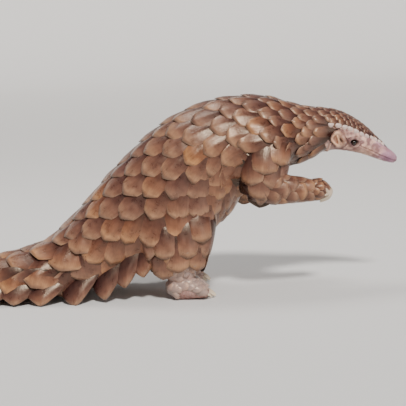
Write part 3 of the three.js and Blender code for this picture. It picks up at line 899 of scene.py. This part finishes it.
def add_scale(coat, tube, t, angle, form, unwrap, cells):
    """One horn scale on a tube: a thin crowned plate, its root sunk and its tip standing proud."""
    patch = tube.patch(t, angle)
    origin, per_t, _, normal = patch
    back = unit(-per_t + normal * (per_t @ normal))
    side = np.cross(normal, back)
    turn = form["turn"]
    lie = back * math.cos(turn) + side * math.sin(turn)
    across = np.cross(normal, lie)
    x, y, reach, _, _ = GRIDS[cells]
    length, width, thick = form["length"], form["width"], form["thick"]
    tip = np.clip(x, 0, 1)
    edge = smooth(reach, 0.6, 1.0)
    u = (x + form["point"] * tip * (1 - np.abs(y))) * length / 2
    v = y * (1 - form["taper"] * tip * tip) * width / 2

    step = lie * u[:, None] + across * v[:, None]
    ground = ground_under(tube, t, angle, patch, step, length, cells)
    s = (x + 1) / 2
    lift = lerp(-form["sink"], form["rise"], s)
    keel = form["keel"] * hump(y, 0, 0.22) * smooth(s, 0.1, 0.5) * (1 - 0.7 * edge)
    fold = -form["fold"] * np.abs(y) ** 1.4
    curl = -form["curl"] * tip**3
    top = ground + lift + keel + fold + curl - thick * 0.3 * edge
    bottom = ground + lift + fold + curl - lerp(thick, thick * 0.62, edge)
    base = origin + step
    upper = base + normal * top[:, None]
    lower = base + normal * bottom[:, None]
    wear = smooth(reach, 0.74, 1.0) * smooth(x, -0.2, 0.5)
    add_plate(coat, cells, upper, lower, u, v, s, wear, form["tone"], unwrap(t, angle), turn)


def around_share(angle):
    """How far round a section an angle lies, from 0 to 1, with the top at half."""
    return (angle + math.pi) % (2 * math.pi) / (2 * math.pi)


def trunk_unwrap(t, angle):
    """The trunk's length along the map's width, its girth over the lower half."""
    return 0.02 + 0.96 * t / trunk.end, 0.02 + 0.46 * around_share(angle)


def limb_unwrap(column, tube):
    """Each limb has its own column of the map's upper half."""

    def unwrap(t, angle):
        return 0.02 + 0.16 * (column + 0.1 + 0.8 * around_share(angle)), 0.54 + 0.42 * t / tube.end

    return unwrap


def always(value):
    """The same value everywhere along a tube."""
    return lambda t: value


def tone_of(base=0.4, spread=0.17):
    return min(1.0, max(0.0, chance.gauss(base, spread)))


NARROWEST = 0.56
HIGHEST_RISE = 7.2 * MM


def scale_form(pitch, spacing, turn=0.0, tone=0.4, **more):
    """The measures of a scale that shares a surface at this pitch along it and spacing across."""
    form = {
        "length": pitch * 1.68,
        "width": spacing * 2.06,
        "rise": min(HIGHEST_RISE, pitch * 0.18),
        "sink": pitch * 0.06,
        "thick": max(1.0 * MM, pitch * 0.062),
        "keel": pitch * 0.020,
        "fold": pitch * 0.05,
        "curl": pitch * 0.035,
        "point": 0.24,
        "taper": 0.12,
        "turn": turn,
        "tone": tone_of(tone),
    }
    form.update(more)
    form["width"] = max(form["width"], form["length"] * NARROWEST)
    return form


def row_distance(row, spacing, crowding):
    """How far a row lies from the middle one; the rows crowd together with distance."""
    count = abs(row)
    return math.copysign(spacing * (count - crowding * count * count), row)


def field(tube, start, stop, rows, spacing, crowding, pitch, style, put, middle=0.0):
    """Staggered rings of scales along a tube. put takes each scale that style gives a form."""
    way = 1 if stop > start else -1
    t, ring = start, 0
    while (stop - t) * way > 0:
        wanted = [row for row in range(-rows, rows + 1) if (row - ring) % 2 == 0]
        gap = spacing(t)
        walked = [row_distance(row, gap, crowding(t)) for row in wanted]
        for row, angle in zip(wanted, tube.angles_at(t, middle, walked)):
            share = 1 - crowding(t) * 2 * abs(row)
            form = style(t, float(angle), gap * share)
            if form is None:
                continue
            form["turn"] += chance.gauss(0, 0.04)
            form["length"] *= 1 + chance.gauss(0, 0.03)
            form["width"] *= 1 + chance.gauss(0, 0.03)
            put(t, middle + float(angle) + chance.gauss(0, 0.006), form)
        t += way * pitch(t) / 2 / np.linalg.norm(tube.patch(t, middle)[1])
        ring += 1


TORSO_SPACING = 28 * MM
NECK_SPACING = 12 * MM
HEAD_SPACING = 6 * MM
TORSO_PITCH = 44 * MM
NECK_PITCH = 24 * MM
HEAD_PITCH = 9.5 * MM
TORSO_ROWS = 13
TORSO_EDGE = math.radians(150)
HEAD_SCALES_START = 22.9
TAIL_START = 7.4
FLANK_TURN = math.radians(48)


def brow_line(t):
    """The angle of the line of beads between the scales of the forehead and the bare face."""
    level = lerp(70, 65, smooth(t, 18.6, 20.6))
    return math.radians(float(lerp(level, 24, smooth(t, 20.7, 23.0))))


def torso_spacing(t):
    body = lerp(TORSO_SPACING, NECK_SPACING, smooth(t, 13.0, 17.5))
    return float(lerp(body, HEAD_SPACING, smooth(t, 17.8, 20.5)))


def torso_crowding(t):
    return float(lerp(0.030, 0.010, smooth(t, 13.0, 17.5)))


def torso_pitch(t):
    body = lerp(TORSO_PITCH, NECK_PITCH, smooth(t, 13.0, 17.6))
    return float(lerp(body, HEAD_PITCH, smooth(t, 17.8, 20.0)))


def flank_turn(t, angle):
    rear = smooth(t, 6.0, 9.0) * (1 - smooth(t, 12.5, 15.5))
    return float(-math.copysign(1, angle) * FLANK_TURN * rear * smooth(abs(angle), 0.9, 2.0))


def torso_style(t, angle, spacing):
    """None beyond the edge of the coat and where a limb covers the trunk too deeply."""
    edge = lerp(TORSO_EDGE, brow_line(t) - math.radians(5), smooth(t, 18.0, 18.7))
    if abs(angle) > edge:
        return None
    point, _, _, normal = trunk.patch(t, angle)
    if limb_cover(point[None], normal)[0] > DEEPEST_COVER:
        return None
    pitch = torso_pitch(t)
    flank = float(smooth(abs(angle), 0.9, 1.9) * smooth(t, 7, 9) * (1 - smooth(t, 13, 15)))
    ridge = math.exp(-((angle / 0.6) ** 2)) + 1.2 * float(smooth(t, 18.3, 20.5))
    ochre = smooth(t, 11.0, 12.5) * (1 - smooth(t, 14.0, 15.5)) * (abs(angle) < 0.9)
    tone = 0.45 + 0.4 * float(ochre) * chance.random() + 0.12 * flank - 0.22 * ridge
    rise = min(HIGHEST_RISE, pitch * 0.18) * lerp(1, 0.75, flank)
    return scale_form(pitch, spacing, flank_turn(t, angle), tone, rise=rise, point=lerp(0.24, 0.14, flank))


TAIL_SPACING = 33 * MM
TAIL_PITCH = 38 * MM
TAIL_TIP_PITCH = 22 * MM
TAIL_ROWS = 5
TAIL_EDGE = math.radians(100)
TAIL_TURN = math.radians(58)


def tail_pitch(t):
    return float(lerp(TAIL_TIP_PITCH, TAIL_PITCH, smooth(t, 0.5, 5)))


def tail_spacing(t):
    half = float(trunk.sizes(t)[0, 2])
    return TAIL_SPACING * min(1.0, half / (66 * MM))


def tail_style(t, angle, spacing):
    if abs(angle) > TAIL_EDGE:
        return None
    pitch = tail_pitch(t)
    lateral = float(smooth(abs(angle), 0.5, 1.2))
    turn = -math.copysign(1, angle) * lateral * TAIL_TURN * float(smooth(t, 1.5, 5))
    tone = lerp(0.72, 0.5, float(smooth(t, 3, 8)))
    return scale_form(pitch, spacing, turn, tone, keel=pitch * lerp(0.03, 0.07, lateral),
                      fold=pitch * lerp(0.05, 0.12, lateral), point=lerp(0.2, 0.3, lateral))


HEAD_END = 18.3
NECK_END = 15.0
BACK_END = 11.2
TAIL_END = 0.35
STRETCHES = [
    ("head_scales", HEAD_END, COARSE),
    ("neck_scales", NECK_END, MIDDLING),
    ("back_scales", BACK_END, FINE),
    ("rump_scales", TAIL_START, FINE),
]


def trunk_coats():
    """The scales of the trunk and the top of the tail, in pieces from head to tail."""
    coats = {name: Coat(name, HORN) for name, _, _ in STRETCHES}

    def put_torso(t, angle, form):
        name, cells = next((name, cells) for name, end, cells in STRETCHES if t > end)
        add_scale(coats[name], trunk, t, angle, form, trunk_unwrap, cells)

    field(trunk, HEAD_SCALES_START, TAIL_START, TORSO_ROWS, torso_spacing, torso_crowding, torso_pitch,
          torso_style, put_torso)
    tail = Coat("tail_scales", HORN)

    def put_tail(t, angle, form):
        add_scale(tail, trunk, t, angle, form, trunk_unwrap, FINE)

    field(trunk, TAIL_START, TAIL_END, TAIL_ROWS, tail_spacing, always(0.0), tail_pitch, tail_style,
          put_tail)
    return [*coats.values(), tail]


MARGIN_START = 8.75
MARGIN_BURY = 14 * MM
SHALLOWEST_DIP = 0.02
STEEPEST_DIP = math.sin(math.radians(70))


def margin_coat():
    """The pointed scales along each edge of the tail, hanging down where it is off the floor."""
    coat = Coat("tail_edge_scales", HORN)
    x, y, reach_share, _, _ = GRIDS[FINE]
    s = (x + 1) / 2
    edge = smooth(reach_share, 0.6, 1.0)
    wear = smooth(reach_share, 0.7, 1.0) * smooth(x, -0.3, 0.4)
    narrow = 1 - 0.95 * s**2.4
    t = MARGIN_START
    while t > TAIL_END:
        size = float(smooth(float(trunk.sizes(t)[0, 2]) / MM, 15, 70))
        raised = float(smooth(t, 4.5, 7.5))
        reach = lerp(10, lerp(28, 43, raised), size) * MM
        width = lerp(24, 74, size) * MM
        thick = lerp(1.4, 2.6, size) * MM
        back = -trunk.axes(t)[0][0]
        for side in (-1, 1):
            root = trunk.point(t, side * math.radians(lerp(97, 124, raised)))[0]
            dip = math.asin(min(max((root[2] - thick) / reach, SHALLOWEST_DIP), STEEPEST_DIP))
            out = np.array([0, side * math.cos(dip), -math.sin(dip)])
            face = unit(np.cross(out, back) * side)
            outward = lerp(-MARGIN_BURY, reach, s)
            backward = (side * y * narrow * 0.5 + 0.14 * s**2) * width
            lift = (0.15 * (1 - np.abs(y) ** 1.8) - 0.07 * x * x) * width * 0.5
            base = root + out * outward[:, None] + back * backward[:, None]
            upper = base + face * (lift + thick * (0.5 - 0.3 * edge))[:, None]
            lower = base + face * (lift - thick * (0.5 - 0.3 * edge))[:, None]
            map_root = trunk_unwrap(t, side * math.radians(125))
            add_plate(coat, FINE, upper, lower, outward, backward, s, wear, tone_of(0.36), map_root)
        t -= lerp(22, 36, size) * MM / np.linalg.norm(trunk.patch(t, 0)[1])
    return coat


def tail_under_coat():
    """The flat scales under the tail, pressed close to it."""
    coat = Coat("tail_under_scales", HORN)

    def style(t, angle, spacing):
        return scale_form(tail_pitch(t), spacing, tone=0.5, rise=0.8 * MM, sink=0.8 * MM, thick=1.2 * MM,
                          keel=0.0, fold=0.2 * MM, curl=0.0)

    def put(t, angle, form):
        add_scale(coat, trunk, t, angle, form, trunk_unwrap, COARSE)

    field(trunk, 7.6, 0.5, 2, tail_spacing, always(0.0), tail_pitch, style, put, middle=math.pi)
    return coat


BROW_START = 18.75
BROW_END = 22.8
BEAD_LENGTH = 9.6 * MM


def brow_coat():
    """A row of pale bead-like scales from above the ear, over the eye, to the root of the snout."""
    coat = Coat("brow_scales", PALE_HORN)
    for side in (-1, 1):
        t = BROW_START
        while t < BROW_END:
            length = BEAD_LENGTH * float(lerp(1.1, 0.72, smooth(t, 20, 22.8))) * (1 + chance.gauss(0, 0.05))
            form = scale_form(length, length * 0.4, rise=length * 0.4, sink=-length * 0.06,
                              thick=length * 0.4, keel=length * 0.08, fold=length * 0.22, curl=length * 0.2,
                              point=0.05, length=length * 1.04)
            form["turn"] = -side * 0.25 + chance.gauss(0, 0.1)
            add_scale(coat, trunk, t, side * brow_line(t), form, trunk_unwrap, MIDDLING)
            t += length / np.linalg.norm(trunk.patch(t, side * brow_line(t))[1])
    return coat


def limb_field(coat, tube, stretch, middle, bare, column, cells, crowding=0.0, **looks):
    """Scales of one size on part of a limb, tips towards its end."""
    start, stop, rows, spacing, pitch = stretch

    def style(t, angle, share):
        if bare(t, tube.point(t, middle + angle)[0]):
            return None
        return scale_form(pitch * MM, share, turn=math.pi, **looks)

    def put(t, angle, form):
        add_scale(coat, tube, t, angle, form, limb_unwrap(column, tube), cells)

    field(tube, start, stop, rows, always(spacing * MM), always(crowding), always(pitch * MM), style, put,
          middle=middle)


SHANK_REAR = -27
FOOT_COLUMN = 4.4


def paw_coats():
    """Small pale scales on the shanks and feet."""
    coats = []
    for name, side in SIDES.items():
        coat = Coat("paw_scales_" + name, PAW_HORN)
        fields = [
            (thighs[side], (4.0, 5.8, 9, 7.5, 13), side * math.pi / 2, place(SHANK_REAR, 0, 0)[0]),
            (feet[side], (0.5, 3.4, 4, 7.0, 13), 0.0, -math.inf),
        ]
        for tube, stretch, middle, rear in fields:
            pitch = stretch[-1]
            limb_field(coat, tube, stretch, middle, lambda t, point: point[0] < rear, FOOT_COLUMN, COARSE,
                       rise=pitch * 0.2 * MM, thick=pitch * 0.12 * MM, fold=pitch * 0.08 * MM)
        coats.append(coat)
    return coats


HEM = 3.4
HEM_REAR = -26
LIMB_ROOT_END = 2.2


def limb_coat(name, side, fields, column):
    """Scales on the outer side of a limb, tips towards its end."""
    coat = Coat(name, HORN)
    for tube, *stretch in fields:

        def bare(t, point):
            if inside_trunk(point, 12 * MM if t < LIMB_ROOT_END else -5 * MM):
                return True
            return tube is thighs[side] and t > HEM and point[0] > place(HEM_REAR, 0, 0)[0]

        limb_field(coat, tube, stretch, side * math.pi / 2, bare, column, MIDDLING, crowding=0.01, tone=0.45,
                   rise=stretch[-1] * 0.15 * MM, point=0.12, taper=0.05)
    return coat


def limb_coats():
    """The scales of each arm and leg. A field holds its stretch, rows to a side, spacing and pitch."""
    coats = []
    for index, (name, side) in enumerate(SIDES.items()):
        arm = [
            (upper_arms[side], 0.9, 3.9, 6, 22, 38),
            (forearms[side], 1.1, 4.0, 4, 15, 28),
            (hands[side], 0.9, 3.3, 4, 7.5, 14),
        ]
        leg = [(thighs[side], 0.9, 4.4, 7, 19, 41)]
        coats.append(limb_coat("arm_scales_" + name, side, arm, index))
        coats.append(limb_coat("leg_scales_" + name, side, leg, index + 2))
    return coats


# Claws and eyes
CLAW_RINGS = 24
CLAW_SIDES = 16


def claw_piece(name, node, path, radius):
    stations = []
    last = len(path) - 1
    for i, (x, y, z) in enumerate(path):
        r = lerp(radius, radius * 0.22, (i / last) ** 1.7) * (0.8 if i == 0 else 1)
        stations.append((x, y, z, r, r, r * 0.8))
    points, faces = Tube(stations).mesh_parts(CLAW_RINGS, CLAW_SIDES)
    thing = new_object(name, points, faces, CLAW)
    share = np.repeat(np.linspace(0, 1, CLAW_RINGS + 1), CLAW_SIDES)
    around = np.tile(np.arange(CLAW_SIDES) * 2 * math.pi / CLAW_SIDES, CLAW_RINGS + 1)
    store(thing, "lie", np.column_stack([share, np.sin(around) * 0.2, np.cos(around) * 0.2]))
    shade_smooth(thing)
    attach(thing, "root")
    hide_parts(node)


def claws():
    for name, side in SIDES.items():
        dx, dz = shift_of(side, LEFT_ARM_SHIFT)
        for i, (y, s) in enumerate(HAND_CLAWS):
            path = [
                (205 + dx, y * side, 161 + dz),
                (213 + dx + 3 * s, y * side, 161 + dz),
                (215 + dx + 7 * s, y * side, 156 + dz),
                (214 + dx + 5 * s, y * side, 160 - 12 * s + dz),
                (208 + dx, y * side, 160 - 17 * s + dz),
            ]
            claw_piece(f"fore_claw_{name}_{i + 1}", f"hand_claw_{name}_{i + 1}", path, HAND_CLAW_RADIUS * s)
        dx, dz = shift_of(side, LEFT_LEG_SHIFT)
        for i, (y, s, behind) in enumerate(FOOT_CLAWS):
            path = [
                (18 + dx - behind, y * side, 10 + dz),
                (29 + dx - behind, y * side, 10 + dz),
                (37 + dx - behind, y * side, 7.5 + dz),
                (43 + dx - behind, y * side, 3 + dz),
            ]
            claw_piece(f"hind_claw_{name}_{i + 1}", f"foot_claw_{name}_{i + 1}", path, FOOT_CLAW_RADIUS * s)


def eyes():
    for name, side in SIDES.items():
        centre = place(EYE[0], EYE[1] * side, EYE[2])
        points, faces = ball_parts(centre, np.full(3, EYE_RADIUS * MM), 24, 32)
        thing = new_object("eyeball_" + name, points, faces, EYEBALL)
        gaze = unit(np.array([0.25, side, 0.1]))
        away = (np.array(points) - centre) / (EYE_RADIUS * MM)
        share = np.arccos(np.clip(away @ gaze, -1, 1)) / (math.pi / 2)
        store(thing, "lie", np.column_stack([share, np.zeros(len(share)), np.zeros(len(share))]))
        shade_smooth(thing)
        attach(thing, "root")
        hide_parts("eye_" + name)


FLESH = ["tail_tip", "tail_middle", "tail_root", "rump", "back", "chest", "neck", "head"]
for side_name in SIDES:
    for part in ("upper_arm", "forearm", "hand", "thigh", "shank", "foot", "ear"):
        FLESH.append(f"{part}_{side_name}")

skin = make_skin()
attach(skin, "root")
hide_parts(*FLESH)
for coat in trunk_coats() + [margin_coat(), tail_under_coat(), brow_coat()] + limb_coats() + paw_coats():
    coat.build()
claws()
eyes()


# Floor, light and camera
FLOOR_RADIUS = 6.0
FLOOR_SIDES = 72
WALL_BEND = 2.5
WALL_HEIGHT = 4.0
CAMERA_DISTANCE = 2.2
NEAR_SIDE = 0.05
CAMERA_ELEVATION = math.radians(8)
CAMERA_ROLL = math.radians(2.5)
SENSOR_WIDTH = 36
MM_PER_PIXEL = 1.55
PHOTO_PIXELS = 406
VIEW_CENTRE = (23.25, 137.3)


def stage():
    """A pale round floor that bends up into a wall far off on every side."""
    look = Look("studio floor")
    material = look.surface({"Base Color": (0.72, 0.71, 0.70, 1), "Roughness": 0.8})
    bend = np.linspace(0, math.pi / 2, 14)
    profile = [(FLOOR_RADIUS + WALL_BEND * math.sin(a), WALL_BEND * (1 - math.cos(a))) for a in bend]
    profile.append((FLOOR_RADIUS + WALL_BEND, WALL_HEIGHT))
    points = [(0, 0, 0)]
    for r, z in profile:
        for j in range(FLOOR_SIDES):
            a = 2 * math.pi * j / FLOOR_SIDES
            points.append((r * math.cos(a), r * math.sin(a), z))
    faces = [(0, 1 + j, 1 + (j + 1) % FLOOR_SIDES) for j in range(FLOOR_SIDES)]
    faces += ring_faces(len(profile), FLOOR_SIDES, 1)
    floor = new_object("floor", points, faces, material)
    shade_smooth(floor)


def add_lamp(name, kind, direction, power, colour):
    data = bpy.data.lights.new(name, kind)
    data.energy = power
    data.color = colour
    lamp = add_object(name, data)
    lamp.rotation_euler = direction.to_track_quat("-Z", "Y").to_euler()
    return lamp


def area_light(name, where, target, size, power, colour):
    lamp = add_lamp(name, "AREA", Vector(target) - Vector(where), power, colour)
    lamp.location = where
    lamp.data.shape = "DISK"
    lamp.data.size = size


def lights():
    key = add_lamp("key", "SUN", Vector((-0.10, 0.70, -0.74)), 3.9, (1.0, 0.97, 0.93))
    key.data.angle = math.radians(9)
    target = (0.0, 0.0, 0.15)
    area_light("fill", (1.7, -1.5, 0.7), target, 1.4, 10, (0.94, 0.96, 1.0))
    area_light("top", (-0.3, 0.5, 1.9), target, 0.8, 14, (1.0, 0.98, 0.96))
    world = bpy.context.scene.world or bpy.data.worlds.new("world")
    bpy.context.scene.world = world
    world.use_nodes = True
    background = world.node_tree.nodes["Background"]
    background.inputs["Color"].default_value = (1.0, 0.985, 0.965, 1)
    background.inputs["Strength"].default_value = 0.24


def camera():
    """Looks at the right side from a little above, rolled, so that one photo pixel is MM_PER_PIXEL wide."""
    back = Vector((0, -math.cos(CAMERA_ELEVATION), math.sin(CAMERA_ELEVATION)))
    level_right = Vector((1, 0, 0))
    level_up = back.cross(level_right)
    right = level_right * math.cos(CAMERA_ROLL) - level_up * math.sin(CAMERA_ROLL)
    up = level_up * math.cos(CAMERA_ROLL) + level_right * math.sin(CAMERA_ROLL)
    aim_x, aim_y = VIEW_CENTRE
    target = (right * aim_x + up * aim_y) * MM + Vector((SHIFT_X * MM, 0, 0))
    half_view = MM_PER_PIXEL * MM * PHOTO_PIXELS / 2
    data = bpy.data.cameras.new("camera")
    data.sensor_width = SENSOR_WIDTH
    data.lens = SENSOR_WIDTH / 2 / (half_view / (CAMERA_DISTANCE - NEAR_SIDE))
    view = add_object("camera", data)
    view.location = target + back * CAMERA_DISTANCE
    view.rotation_euler = Matrix((right, up, back)).transposed().to_euler()
    bpy.context.scene.camera = view


stage()
lights()
camera()
